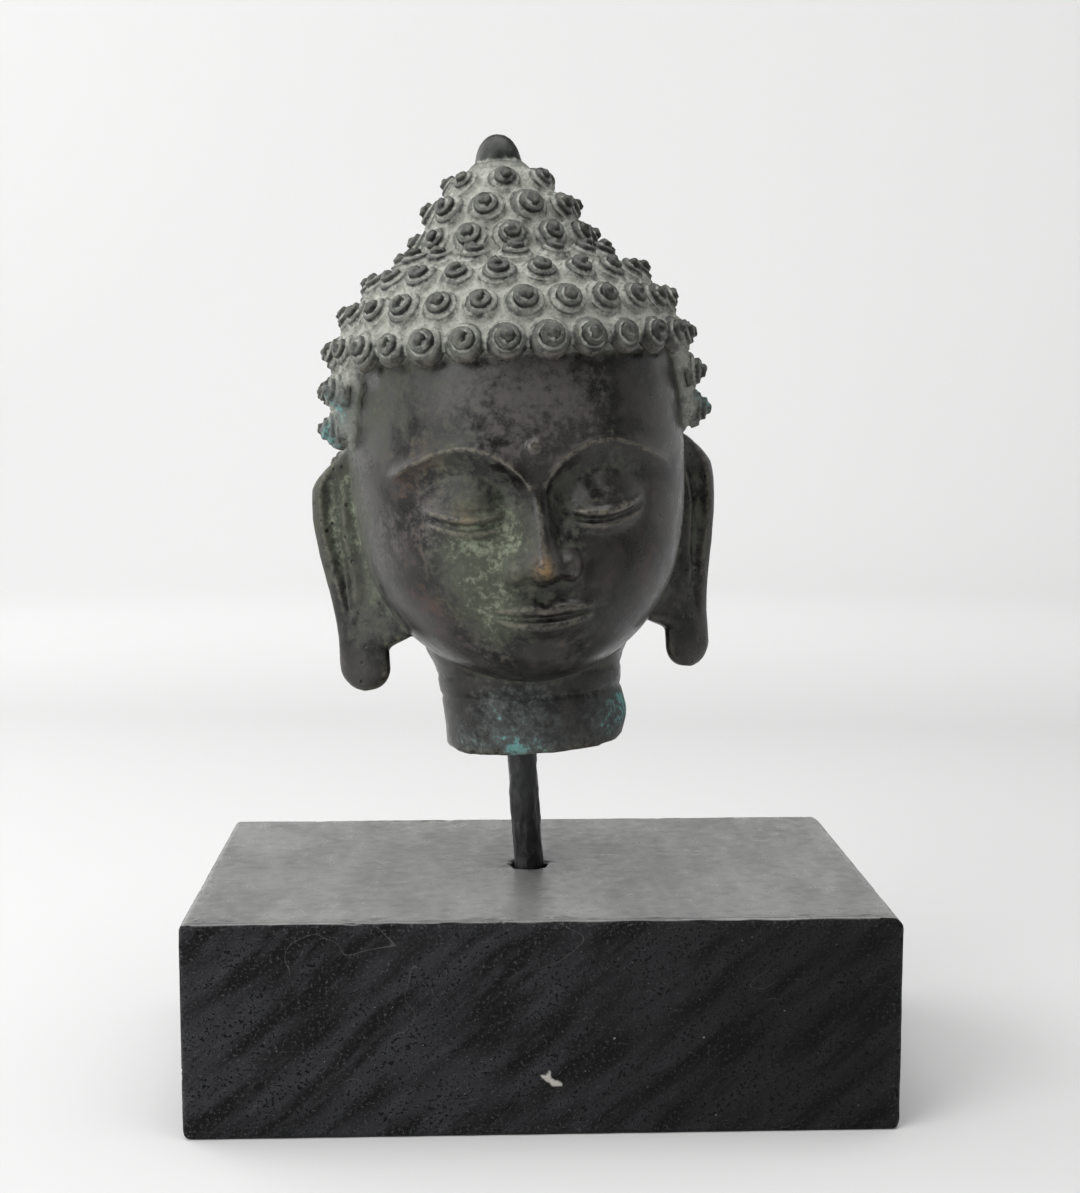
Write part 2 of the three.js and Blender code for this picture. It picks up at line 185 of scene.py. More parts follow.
def lips(x, z):
    """Two full lips that thin out to the corners, with the upper one in a bow."""
    v = np.minimum(1, np.abs(x) / MOUTH_HALF)
    h = z - mouth_line(x)
    bow = 1 + 0.16 * bell(np.abs(x) - 3, 1.8) - 0.2 * bell(x, 1.3)
    reach = np.where(h > 0, 4.2 * bow, 5.0) * np.sqrt(np.maximum(0.09, 1 - v * v))
    share = np.abs(h) / reach
    full = np.where(share < 1, np.sin(np.pi * (0.08 + 0.92 * np.minimum(1, share))), 0)
    parting = -0.7 * bell(h, 0.45) * (1 - v**6)
    corner = -0.8 * blob(np.abs(x) - MOUTH_HALF - 0.2, z - MOUTH - 1.2, 1.1, 1.0)
    return 2.3 * full * (1 - v**4) + parting + corner


def relief(x, z):
    """How far the features stand proud of the plain face."""
    a = np.abs(x)
    muzzle = 2.6 * blob(x, z - MOUTH, 12, 8)
    chin = 3.2 * blob(x, z - CHIN - 5.5, 8, 4.5)
    fold = -1.2 * blob(x, z - MOUTH + 7.2, 7, 1.8)
    cheeks = 1.6 * blob(a - 24, z - NOSE_BASE, 9, 10)
    groove = -0.7 * blob(x, z - NOSE_BASE + 3, 1.2, 2.2)
    mark = 1.3 * np.sqrt(mound(x, z - BROW - 4.5, 2.1, 2.1))
    broad = muzzle + chin + fold + cheeks + groove + mark
    return broad + brows(x, z) + sockets(x, z) + lids(x, z) + nose(x, z) + lips(x, z)


def skin(rings):
    """A closed skin over rings of points, from the lowest to the highest, shut by a point at each end."""
    rows, count = rings.shape[:2]
    points = np.concatenate([rings.reshape(-1, 3), rings[[0, -1]].mean(axis=1)])
    i, j = np.meshgrid(np.arange(rows - 1), np.arange(count), indexing="ij")
    a = i * count + j
    b = i * count + (j + 1) % count
    quads = np.stack([a, b, b + count, a + count], -1).reshape(-1, 4)
    j = np.arange(count)
    after = (j + 1) % count
    low = np.stack([np.full(count, rows * count), after, j], -1)
    top = (rows - 1) * count
    high = np.stack([np.full(count, rows * count + 1), top + j, top + after], -1)
    return points, quads.tolist() + low.tolist() + high.tolist()


def turning(count):
    """Even angles round a full turn."""
    return np.arange(count) * 2 * np.pi / count


def face_skin():
    """The skull up to the hairline, closer together in front, with the features raised on it."""
    turn = turning(440)
    angle = turn - 0.6 * np.sin(turn)
    first = SKULL_BOTTOM + np.array([0.02, 0.1, 0.3, 0.7])
    z = np.concatenate([first, np.arange(SKULL_BOTTOM + 1.2, HAIRLINE + 5, 0.4)])
    points = skull_point(angle[None, :], z[:, None])
    facing = np.cos(angle)[None, :]
    points[..., 1] -= relief(points[..., 0], points[..., 2]) * rise(0.05, 0.4, facing)
    return skin(points)


def scalp_at(angle, z):
    return skull_point(angle, np.minimum(z, SKULL_TOP - 0.01), HAIR_STEP)


def scalp_skin():
    """The cap under the curls, which stands a step proud of the skin from the hair's edge up."""
    angle = turning(240)[None, :]
    edge = hair_edge(angle)
    share = np.sin(np.linspace(0, 1, 90) * np.pi / 2)[:, None]
    z = edge + (SKULL_TOP - 0.05 - edge) * share
    return skin(skull_point(angle, z, HAIR_STEP * rise(-2, 5, z - edge)))


def knot_radius(z):
    share = np.maximum(0, (z - KNOT_BASE) / (KNOT_TOP - KNOT_BASE))
    return KNOT_SIDE - (KNOT_SIDE - KNOT_CROWN) * share**KNOT_POWER + KNOT_FOOT * bell(z - KNOT_BASE, 6)


def knot_at(angle, z):
    angle, z = np.broadcast_arrays(np.asarray(angle, float), np.asarray(z, float))
    r = knot_radius(z)
    return np.stack([r * np.sin(angle), -r * np.cos(angle), z], -1)


def knot_skin():
    z = np.linspace(KNOT_BASE, KNOT_TOP, 40)[:, None]
    return skin(knot_at(turning(120)[None, :], z))


def finial_skin():
    share = np.linspace(0, 1, 24)[:, None] * np.pi / 2
    r = FINIAL_RADIUS * np.cos(share * 0.98)
    z = FINIAL_BASE + (FINIAL_TOP - FINIAL_BASE) * np.sin(share)
    r = np.concatenate([np.full((4, 1), FINIAL_RADIUS * 0.95), r])
    z = np.concatenate([np.linspace(FINIAL_BASE - 4, FINIAL_BASE - 0.4, 4)[:, None], z])
    angle = turning(64)[None, :]
    return skin(np.stack([r * np.sin(angle), -r * np.cos(angle), z + 0 * angle], -1))


def neck_skin():
    """The neck's wall: up the outside, and down the hollow from its roof to the cut rim."""
    angle = turning(220)[None, :]
    inside = np.array([NECK_HOLLOW, NECK_HOLLOW - 1, 13, 9, 5, 2, 0.8, 0.2])[:, None]
    outside = np.concatenate([[0.0, 0.5], np.arange(1.0, NECK_TOP + 1, 0.5)])[:, None]
    z = np.concatenate([inside, outside])
    is_in = np.concatenate([np.ones_like(inside), np.zeros_like(outside)])
    waist = 1.8 * rise(4, NECK_TOP, z)
    spread = 2 * bell(angle - 1.45, 0.5) * bell(z - 6.5, 3.8)
    folds = -0.45 * bell(z - 13.5 - 1.2 * np.cos(angle), 0.5)
    folds -= 0.35 * bell(z - 19 - 1.5 * np.cos(angle), 0.5)
    collar = 2.2 * rise(18, NECK_TOP + 1, z) ** 2
    soft = -0.7 * (1 - rise(0, 1, z))
    grow = waist + np.where(is_in > 0, -NECK_WALL - soft * 0.6, spread + folds + collar + soft)
    around = np.stack([2.2 * np.cos(angle[0]), 2.2 * np.sin(angle[0]), np.full(angle.size, 7.0)], -1)
    rough = np.array([noise.fractal(place, 1.0, 2.0, 3) for place in around.tolist()])
    z = z + 0.55 * rough * (1 - rise(0, 4, z))
    return skin(np.stack([
        (NECK_SIDE + grow) * np.sin(angle),
        NECK_Y - (NECK_DEPTH + grow) * np.cos(angle),
        z,
    ], -1))


def ear_skin(side):
    """A long ear as rings round its plate, from the lobe up: a thick rim, a bowl and an inner ridge."""
    spans = ((0, 0.12, 15), (0.12, 0.8, 69), (0.8, 1.01, 26))
    share = np.concatenate([np.linspace(low, high, count, endpoint=False) for low, high, count in spans])
    share = np.minimum(1, share)[:, None]
    around = turning(96)[None, :]
    z = EAR_BOTTOM + (EAR_TOP - EAR_BOTTOM) * share
    tip = np.sqrt(np.maximum(0.005, 1 - (1 - np.minimum(1, share / 0.1)) ** 2))
    top = np.sqrt(np.maximum(0.005, 1 - np.maximum(0, (share - 0.78) / 0.22) ** 2))
    outer = 48.2 + 4.4 * rise(0.2, 0.75, share) - 3.5 * rise(0.85, 1, share)
    inner = 36.2 - 6.6 * rise(0.17, 0.25, share) + 5 * rise(0.4, 0.75, share)
    half = (outer - inner) / 2 / math.cos(EAR_FLARE) * tip * top
    thick = EAR_THICK * (0.4 + 0.6 * tip * top)
    along = np.cos(around)
    within = rise(0.16, 0.52, share) * (1 - rise(0.84, 0.97, share))
    bowl = 2.6 * within * rise(-1.3, -0.3, along) * (1 - rise(0.50, 0.66, along))
    ridge_line = 0.18 - 0.75 * (share - 0.55)
    ridge_span = rise(0.33, 0.42, share) * (1 - rise(0.80, 0.92, share))
    ridge = 1.5 * bell(along - ridge_line, 0.11) * ridge_span
    middle = (outer + inner) / 2
    forward = EAR_Y + (middle - EAR_LOBE) * math.tan(EAR_FLARE)
    square = np.sign(np.sin(around)) * np.abs(np.sin(around)) ** 0.75
    across = thick * square - np.where(np.sin(around) > 0, bowl - ridge, 0)
    points = np.stack([
        middle + half * along * math.cos(EAR_FLARE) + across * math.sin(EAR_FLARE),
        forward + half * along * math.sin(EAR_FLARE) - across * math.cos(EAR_FLARE),
        z + 0 * around,
    ], -1)
    points[..., 0] *= side
    return skin(points[:, ::-side])


def ring_of(point_at, z):
    """The length round a form at a level, and the angle at any length along it."""
    angle = np.linspace(0, 2 * np.pi, 361)
    points = point_at(angle, z)
    lengths = np.concatenate([[0], np.cumsum(np.linalg.norm(np.diff(points, axis=0), axis=1))])
    return lengths[-1], lambda length: np.interp(length, lengths, angle)


def rows_along(point_at, row, start, end):
    """Levels from a start to an end that are a row apart along the form's slope."""
    levels = [start]
    step = 0.1 if end > start else -0.1
    walked, z = 0.0, start
    while (end - z) * step > 0:
        walked += np.linalg.norm(point_at(np.pi / 2, z) - point_at(np.pi / 2, z + step))
        z += step
        if walked >= row:
            levels.append(z)
            walked = 0.0
    return levels


def curl_places(point_at, levels, covered):
    """The place and the outward direction of each curl, in staggered rings."""
    places = []
    for row, z in enumerate(levels):
        total, angle_at = ring_of(point_at, z)
        count = round(total / CURL_PITCH)
        for k in range(count):
            angle = angle_at((k + (row % 2) / 2) / count * total)
            if not covered(angle, z):
                continue
            east = point_at(angle + 0.02, z) - point_at(angle - 0.02, z)
            north = point_at(angle, z + 0.3) - point_at(angle, z - 0.3)
            normal = np.cross(east, north)
            places.append((point_at(angle, z), normal / np.linalg.norm(normal)))
    return places


def is_hairy(angle, z):
    beside_knot = np.linalg.norm(scalp_at(angle, z)[:2]) > knot_radius(z)
    return z >= hair_edge(angle) + 1.5 and beside_knot


upper_rows = rows_along(scalp_at, CURL_ROW, FIRST_ROW, SKULL_TOP - 2.5)
lower_rows = rows_along(scalp_at, CURL_ROW, FIRST_ROW, LAST_ROW)[1:]
knot_rows = rows_along(knot_at, KNOT_ROW, KNOT_FIRST_ROW, KNOT_TOP - 1)
curls = curl_places(scalp_at, lower_rows[::-1] + upper_rows, is_hairy)
curls += curl_places(knot_at, knot_rows, lambda angle, z: True)


def placed(name, data):
    """A new object in the scene, at the origin."""
    made = bpy.data.objects.new(name, data)
    bpy.context.scene.collection.objects.link(made)
    return made


def mesh_object(name, points, faces):
    mesh = bpy.data.meshes.new(name)
    mesh.from_pydata(points.tolist(), [], faces)
    return placed(name, mesh)


def keep(mesh, name, values):
    """Keeps a number for each point of a mesh, for its material to read."""
    attribute = mesh.attributes.new(name, "FLOAT", "POINT")
    attribute.data.foreach_set("value", np.ascontiguousarray(values, dtype=np.float32))


def node(tree, kind, inputs=None, **settings):
    """Adds a node with its settings. Each input is given a value or a link from another node."""
    made = tree.nodes.new(kind)
    for name, value in settings.items():
        setattr(made, name, value)
    for key, value in (inputs or {}).items():
        if isinstance(value, bpy.types.NodeSocket):
            tree.links.new(value, made.inputs[key])
        else:
            made.inputs[key].default_value = value
    return made


def baked(source, name):
    """The plain mesh that an object's modifiers make, in a new object. The source is removed."""
    graph = bpy.context.evaluated_depsgraph_get()
    mesh = bpy.data.meshes.new_from_object(source.evaluated_get(graph))
    bpy.data.objects.remove(source)
    return placed(name, mesh)


CURL_SIDES = 24
PLINTH_SUNK, PLINTH_FOOT = -1.0, 5.1
CORE_TOP, COIL_END, COIL_LIFT = 0.8, 0.9, 0.15


def snail_tree():
    """A snail curl on every point: a square bar coiled up from a low plinth to a knob in its middle."""
    tree = bpy.data.node_groups.new("snail curls", "GeometryNodeTree")
    tree.interface.new_socket("Geometry", in_out="INPUT", socket_type="NodeSocketGeometry")
    sizes = {
        "Plinth radius": 4.5,
        "Plinth height": 0.9,
        "Knob radius": 1.2,
        "Curl height": 3.3,
        "Bar": 0.8,
        "Turns": 2.1,
    }
    for name, value in sizes.items():
        socket = tree.interface.new_socket(name, in_out="INPUT", socket_type="NodeSocketFloat")
        socket.default_value = value
    tree.interface.new_socket("Bronze", in_out="INPUT", socket_type="NodeSocketMaterial")
    tree.interface.new_socket("Geometry", in_out="OUTPUT", socket_type="NodeSocketGeometry")
    given = node(tree, "NodeGroupInput").outputs

    def vector(x, y, z):
        return node(tree, "ShaderNodeCombineXYZ", {0: x, 1: y, 2: z}).outputs[0]

    def difference(a, b):
        return node(tree, "ShaderNodeMath", {0: a, 1: b}, operation="SUBTRACT").outputs[0]

    ball = node(tree, "GeometryNodeMeshIcoSphere", {"Radius": 1.0, "Subdivisions": 2}).outputs["Mesh"]
    plinth_inputs = {
        "Vertices": CURL_SIDES,
        "Radius Top": given["Plinth radius"],
        "Radius Bottom": PLINTH_FOOT,
        "Depth": difference(given["Plinth height"], PLINTH_SUNK),
    }
    plinth = node(tree, "GeometryNodeMeshCone", plinth_inputs).outputs["Mesh"]
    plinth_place = {"Geometry": plinth, "Translation": (0.0, 0.0, PLINTH_SUNK)}
    plinth = node(tree, "GeometryNodeTransform", plinth_place).outputs[0]
    knob_inputs = {
        "Geometry": ball,
        "Scale": vector(given["Knob radius"], given["Knob radius"], given["Knob radius"]),
        "Translation": vector(0.0, 0.0, given["Curl height"]),
    }
    knob = node(tree, "GeometryNodeTransform", knob_inputs).outputs[0]
    outer_turn = difference(given["Plinth radius"], given["Bar"])
    core_inputs = {
        "Vertices": CURL_SIDES,
        "Radius Top": CORE_TOP,
        "Radius Bottom": outer_turn,
        "Depth": given["Curl height"],
    }
    core = node(tree, "GeometryNodeMeshCone", core_inputs).outputs["Mesh"]
    spiral_inputs = {
        "Resolution": CURL_SIDES,
        "Rotations": given["Turns"],
        "Start Radius": outer_turn,
        "End Radius": COIL_END,
        "Height": given["Curl height"],
    }
    spiral = node(tree, "GeometryNodeCurveSpiral", spiral_inputs).outputs[0]
    level = node(tree, "GeometryNodeSetCurveNormal", {"Curve": spiral}, mode="Z_UP").outputs[0]
    bar_size = node(tree, "ShaderNodeMath", {0: given["Bar"], 1: 2.0}, operation="MULTIPLY").outputs[0]
    section_inputs = {"Width": bar_size, "Height": bar_size}
    section = node(tree, "GeometryNodeCurvePrimitiveQuadrilateral", section_inputs).outputs[0]
    coil_inputs = {"Curve": level, "Profile Curve": section, "Fill Caps": True}
    bar = node(tree, "GeometryNodeCurveToMesh", coil_inputs).outputs[0]
    coil_place = {"Geometry": bar, "Translation": vector(0.0, 0.0, COIL_LIFT)}
    coil = node(tree, "GeometryNodeTransform", coil_place).outputs[0]
    snail = node(tree, "GeometryNodeJoinGeometry")
    for form in (plinth, knob, core, coil):
        tree.links.new(form, snail.inputs[0])

    def kept(name, kind):
        return node(tree, "GeometryNodeInputNamedAttribute", {"Name": name}, data_type=kind).outputs[0]

    facing_inputs = {"Vector": kept("outward", "FLOAT_VECTOR")}
    facing = node(tree, "FunctionNodeAlignRotationToVector", facing_inputs, axis="Z").outputs[0]
    spin_inputs = {2: -3.1, 3: 3.1, "Seed": 4}
    spin_angle = node(tree, "FunctionNodeRandomValue", spin_inputs, data_type="FLOAT").outputs[1]
    spin = node(tree, "FunctionNodeAxisAngleToRotation", {"Axis": (0, 0, 1), "Angle": spin_angle}).outputs[0]
    turned_inputs = {"Rotation": facing, "Rotate By": spin}
    turned = node(tree, "FunctionNodeRotateRotation", turned_inputs, rotation_space="LOCAL").outputs[0]
    spread_inputs = {
        "Points": given["Geometry"],
        "Instance": snail.outputs[0],
        "Rotation": turned,
        "Scale": kept("size", "FLOAT"),
    }
    spread = node(tree, "GeometryNodeInstanceOnPoints", spread_inputs).outputs[0]
    whole = node(tree, "GeometryNodeRealizeInstances", {"Geometry": spread}).outputs[0]
    cast_inputs = {"Geometry": whole, "Material": given["Bronze"]}
    cast = node(tree, "GeometryNodeSetMaterial", cast_inputs).outputs[0]
    node(tree, "NodeGroupOutput", {0: cast})
    return tree


def snail_curls(material):
    """All the curls in one mesh, each turned, sized and set on its place, smaller near the bud."""
    points = np.array([place for place, _ in curls])
    outward = np.array([normal for _, normal in curls])
    carrier = mesh_object("snail curls", points, [])
    attribute = carrier.data.attributes.new("outward", "FLOAT_VECTOR", "POINT")
    attribute.data.foreach_set("vector", outward.ravel())
    smaller = 0.15 * rise(137, 143, points[:, 2])
    keep(carrier.data, "size", np.random.default_rng(9).uniform(0.93, 1.07, len(points)) - smaller)
    modifier = carrier.modifiers.new("snail curls", "NODES")
    modifier.node_group = snail_tree()
    for item in modifier.node_group.interface.items_tree:
        if item.name == "Bronze":
            modifier[item.identifier] = material
    return baked(carrier, "snail curls")


def read(items, name, width, kind=float):
    """What a mesh's vertices or edges hold under a name, as one row for each of them."""
    values = np.empty(len(items) * width, dtype=kind)
    items.foreach_get(name, values)
    return values.reshape(-1, width)


def mesh_points(mesh):
    return read(mesh.vertices, "co", 3)


def vertex_normals(mesh):
    return read(mesh.vertices, "normal", 3)


def joined(skins):
    """Several skins as one list of points and one list of faces."""
    points, faces, start = [], [], 0
    for part_points, part_faces in skins:
        points.append(part_points)
        faces += [[start + index for index in face] for face in part_faces]
        start += len(part_points)
    return np.concatenate(points), faces


def moved(points, matrix):
    """Points moved by a matrix, as an array."""
    m = np.array(matrix)
    return points @ m[:3, :3].T + m[:3, 3]


def smoothed(points, pairs, rounds):
    """Points drawn towards the middle of their neighbours, some rounds over."""
    count = len(points)
    share = np.bincount(pairs.ravel(), minlength=count)[:, None]
    for _ in range(rounds):
        total = np.empty_like(points)
        for axis in range(3):
            total[:, axis] = np.bincount(pairs[:, 0], points[pairs[:, 1], axis], count)
            total[:, axis] += np.bincount(pairs[:, 1], points[pairs[:, 0], axis], count)
        points = 0.5 * points + 0.5 * total / share
    return points


def hollows(mesh, rounds):
    """How far each point lies below the smoothed surface, in millimetres, after each count of rounds."""
    points, normals = mesh_points(mesh) / MM, vertex_normals(mesh)
    pairs = read(mesh.edges, "vertices", 2, np.int32)
    found, smooth, done = [], points, 0
    for count in rounds:
        smooth = smoothed(smooth, pairs, count - done)
        done = count
        found.append(np.einsum("ij,ij->i", smooth - points, normals))
    return found


def fractal(points, scale, seed, octaves=3):
    """A rough noise at each point, from about -1 to 1."""
    places = points * scale + seed
    return np.array([noise.fractal(place, 1.0, 2.0, octaves) for place in places.tolist()])


VOXEL = 0.4 * MM
HEAD_TRIANGLES = 192000
GROOVE_ROUNDS, DIP_ROUNDS = 20, 180
EAR_START = 41.5
CAST_ROUGHNESS, CURL_ROUGHNESS = 0.09, 0.11

bronze = bpy.data.materials.new("patinated bronze")
curl_object = snail_curls(bronze)
curl_faces = [tuple(face.vertices) for face in curl_object.data.polygons]
curl_mesh = (mesh_points(curl_object.data), curl_faces)
bpy.data.objects.remove(curl_object)
bare_scalp = joined([scalp_skin(), knot_skin()])
forms = [face_skin(), bare_scalp, finial_skin(), neck_skin(), ear_skin(1), ear_skin(-1), curl_mesh]
wax_points, wax_faces = joined(forms)
wax = mesh_object("wax", moved(wax_points, HEAD_FRAME), wax_faces)
remesh = wax.modifiers.new("melt", "REMESH")
remesh.mode = "VOXEL"
remesh.voxel_size = VOXEL
wax = baked(wax, "melted wax")
grooves, dips = hollows(wax.data, (GROOVE_ROUNDS, DIP_ROUNDS))
dense = KDTree(len(wax.data.vertices))
for index, vertex in enumerate(wax.data.vertices):
    dense.insert(vertex.co, index)
dense.balance()
thin = wax.modifiers.new("thin", "DECIMATE")
thin.ratio = HEAD_TRIANGLES / (2 * len(wax.data.polygons))
head = baked(wax, "bronze_head")

# What age has left on each point of the casting: dust between the curls, worn edges and stains, and where a
# grey sheen is painted on the face

head_points = mesh_points(head.data)
own = moved(head_points, HEAD_FRAME.inverted())
nearest = [dense.find(place)[1] for place in head_points.tolist()]
scalp_tree = BVHTree.FromPolygons(bare_scalp[0].tolist(), bare_scalp[1])
skull_depth = np.where(own[:, 1] < 0, SKULL_FRONT, SKULL_BACK)
angle = np.arctan2(own[:, 0] / SKULL_SIDE, -own[:, 1] / skull_depth)
hair = rise(-1.5, 1.5, own[:, 2] - hair_edge(angle))
height = np.zeros(len(own))
scalp_normal = np.zeros((len(own), 3))
for index in np.flatnonzero(hair):
    _, scalp_normal[index], _, height[index] = scalp_tree.find_nearest(own[index])
own_normal = moved(vertex_normals(head.data), HEAD_FRAME.to_3x3().inverted().to_4x4()) * MM
ledge = hair * rise(0.70, 0.97, np.abs(np.einsum("ij,ij->i", own_normal, scalp_normal)))
in_ear = (np.abs(own[:, 0]) > EAR_START) & (own[:, 2] < EAR_TOP)
hair = hair * (1 - in_ear)
dust = hair * (1 - rise(0.5, 2.6, height)) * (1 - rise(FINIAL_BASE - 1, FINIAL_BASE + 0.5, own[:, 2]))

rough = CAST_ROUGHNESS * fractal(own, 0.35, 3.0) * (0.35 + 0.65 * np.maximum(hair, in_ear))
rough += CURL_ROUGHNESS * fractal(own, 0.9, 15.0, 2) * hair
shifted = head_points + vertex_normals(head.data) * (MM * rough)[:, None]
head.data.vertices.foreach_set("co", shifted.ravel())


def stains(spots):
    """How strongly each point is stained by spots, each a place, a radius and a strength."""
    total = np.zeros(len(own))
    for place, radius, strength in spots:
        total += strength * bell(np.linalg.norm(own - np.array(place), axis=1), radius)
    return total


GREEN_SPOTS = [
    ((-17, -44, 52), 8, 0.85), ((-9, -46, 58), 6, 0.75), ((-20, -42, 76), 7, 0.55), ((-13, -42, 38), 6, 0.5),
    ((-37, -26, 88), 8, 0.5), ((-12, -46, 34), 5, 0.5), ((12, -44, 36), 5, 0.4), ((-45, 0, 62), 13, 0.9),
    ((-28, -36, 98), 7, 0.4), ((10, -44, 60), 6, 0.25), ((44, 0, 50), 12, 0.4), ((-8, -50, 42), 5, 0.5),
    ((-12, -43, 98), 7, 0.25), ((-40, -6, 34), 9, 0.4), ((17, -42, 76), 7, 0.25),
]
TEAL_SPOTS = [
    ((-7, -20, 1), 2.6, 0.95), ((0, -20, 0), 3, 0.5), ((24, 0, 7), 4.5, 0.9), ((17, -14, 4), 7, 0.4),
    ((-6, -19, 8), 8, 0.6), ((22, -8, 10), 5, 0.6),
    ((-46, -14, 90), 4, 1.0), ((-47, -10, 80), 3.5, 0.9), ((46, -10, 92), 4, 1.0), ((46, -8, 84), 3.5, 0.9),
    ((-20, -10, 3), 5, 0.4), ((0, 23, 4), 10, 0.6), ((-30, 30, 40), 8, 0.4), ((34, 26, 56), 7, 0.4),
]
RUST_SPOTS = [
    ((-24, -40, 75), 5, 0.7), ((-31, -33, 70), 4, 0.5), ((-20, -44, 62), 4, 0.4), ((-29, -34, 42), 5, 0.5),
    ((-20, -40, 34), 6, 0.4), ((28, -36, 52), 6, 0.35), ((30, -32, 40), 6, 0.3), ((-30, -34, 56), 5, 0.3),
]
# Painted sheen: soft grey spots on the forehead, cheeks and chin that stand in for light shining on the
# metal, not a stain.
PAINTED_SHEEN_SPOTS = [
    ((-8, -45, 92), 11, 0.8), ((8, -46, 90), 8, 0.55), ((-26, -38, 62), 7, 0.4), ((-18, -40, 28), 7, 0.4),
    ((-38, -24, 56), 6, 0.5), ((18, -44, 62), 6, 0.3), ((8, -44, 26), 6, 0.35), ((-10, -30, 14), 6, 0.4),
]
GOLD_SPOTS = [((0, -56, NOSE_BASE + 2), 2.2, 0.8), ((-18, -46, EYES - 2), 2, 0.2)]

marks = {
    "hair": hair,
    "dust": dust,
    "ledge": ledge,
    "groove": grooves[nearest],
    "dip": dips[nearest],
    "ear": in_ear.astype(float),
    "green": stains(GREEN_SPOTS),
    "teal": stains(TEAL_SPOTS),
    "rust": stains(RUST_SPOTS),
    "painted_sheen": stains(PAINTED_SHEEN_SPOTS),
    "gold": stains(GOLD_SPOTS),
}
for name, values in marks.items():
    keep(head.data, name, values)


class Finish:
    """A material's node tree, with short calls for the nodes that the finishes are mixed from."""

    def __init__(self, material):
        material.use_nodes = True
        self.tree = material.node_tree
        self.tree.nodes.clear()
        self.place = node(self.tree, "ShaderNodeTexCoord").outputs["Object"]

    def kept(self, *names):
        """The numbers that the mesh keeps for each point under these names."""
        return [node(self.tree, "ShaderNodeAttribute", attribute_name=name).outputs["Fac"] for name in names]

    def noise(self, size_mm, detail=3.0, roughness=0.55, stretch=None, distortion=0.0):
        """A noise whose blotches are about a size across, from 0 to 1."""
        place = self.place
        if stretch:
            inputs = {"Vector": place, **stretch}
            place = node(self.tree, "ShaderNodeMapping", inputs, vector_type="TEXTURE").outputs[0]
        inputs = {
            "Vector": place,
            "Scale": 1 / (size_mm * MM),
            "Detail": detail,
            "Roughness": roughness,
            "Distortion": distortion,
        }
        return node(self.tree, "ShaderNodeTexNoise", inputs).outputs["Fac"]

    def cells(self, size_mm):
        """The distance from scattered points that are about a size apart."""
        inputs = {"Vector": self.place, "Scale": 1 / (size_mm * MM)}
        return node(self.tree, "ShaderNodeTexVoronoi", inputs).outputs["Distance"]

    def step(self, value, low, high, to_low=0.0, to_high=1.0):
        """A smooth step from one number where the value is low to another where it is high."""
        inputs = {"Value": value, "From Min": low, "From Max": high, "To Min": to_low, "To Max": to_high}
        return node(self.tree, "ShaderNodeMapRange", inputs, interpolation_type="SMOOTHSTEP").outputs[0]

    def math(self, operation, a, b=0.0):
        return node(self.tree, "ShaderNodeMath", {0: a, 1: b}, operation=operation).outputs[0]

    def plus(self, a, b):
        return self.math("ADD", a, b)

    def times(self, *factors):
        product = factors[0]
        for factor in factors[1:]:
            product = self.math("MULTIPLY", product, factor)
        return product

    def mix(self, factor, a, b):
        """Colour a where the factor is 0, and colour b where it is 1."""
        made = node(self.tree, "ShaderNodeMix", {0: factor}, data_type="RGBA", clamp_factor=True)
        for index, colour in ((6, a), (7, b)):
            if isinstance(colour, bpy.types.NodeSocket):
                self.tree.links.new(colour, made.inputs[index])
            else:
                made.inputs[index].default_value = (*colour, 1)
        return made.outputs[2]

    def blend(self, factor, a, b):
        """Number a where the factor is 0, and number b where it is 1."""
        made = node(self.tree, "ShaderNodeMix", {0: factor, 2: a, 3: b}, data_type="FLOAT", clamp_factor=True)
        return made.outputs[0]

    def bump(self, height, depth_mm):
        inputs = {"Height": height, "Strength": 1.0, "Distance": depth_mm * MM}
        return node(self.tree, "ShaderNodeBump", inputs).outputs[0]

    def shade(self, inputs):
        shader = node(self.tree, "ShaderNodeBsdfPrincipled", inputs)
        node(self.tree, "ShaderNodeOutputMaterial", {"Surface": shader.outputs[0]})


METAL = (0.006, 0.0057, 0.005), (0.028, 0.026, 0.024)
MOTTLED_METAL = (0.050, 0.046, 0.044)
PAINTED_SHEEN = (0.050, 0.046, 0.046), (0.125, 0.118, 0.116)
CURL_METAL = (0.005, 0.006, 0.0048), (0.034, 0.038, 0.031)
RUST = (0.066, 0.027, 0.016)
DIRT = (0.086, 0.092, 0.072)
FILM = (0.042, 0.047, 0.034), (0.115, 0.126, 0.092)
CRUST = (0.130, 0.152, 0.106), (0.305, 0.345, 0.258)
THIN_DUST = (0.090, 0.097, 0.082), (0.300, 0.310, 0.270)
POWDER = (0.140, 0.150, 0.124), (0.470, 0.475, 0.428)
HAZE = (0.046, 0.056, 0.055), (0.165, 0.190, 0.184)
SALTS = (0.07, 0.18, 0.18), (0.20, 0.46, 0.43)
PIT = (0.006, 0.006, 0.0055)
WORN_METAL = (0.20, 0.185, 0.15)
GOLD = (0.42, 0.24, 0.085)
PIT_SPACING = 3.4


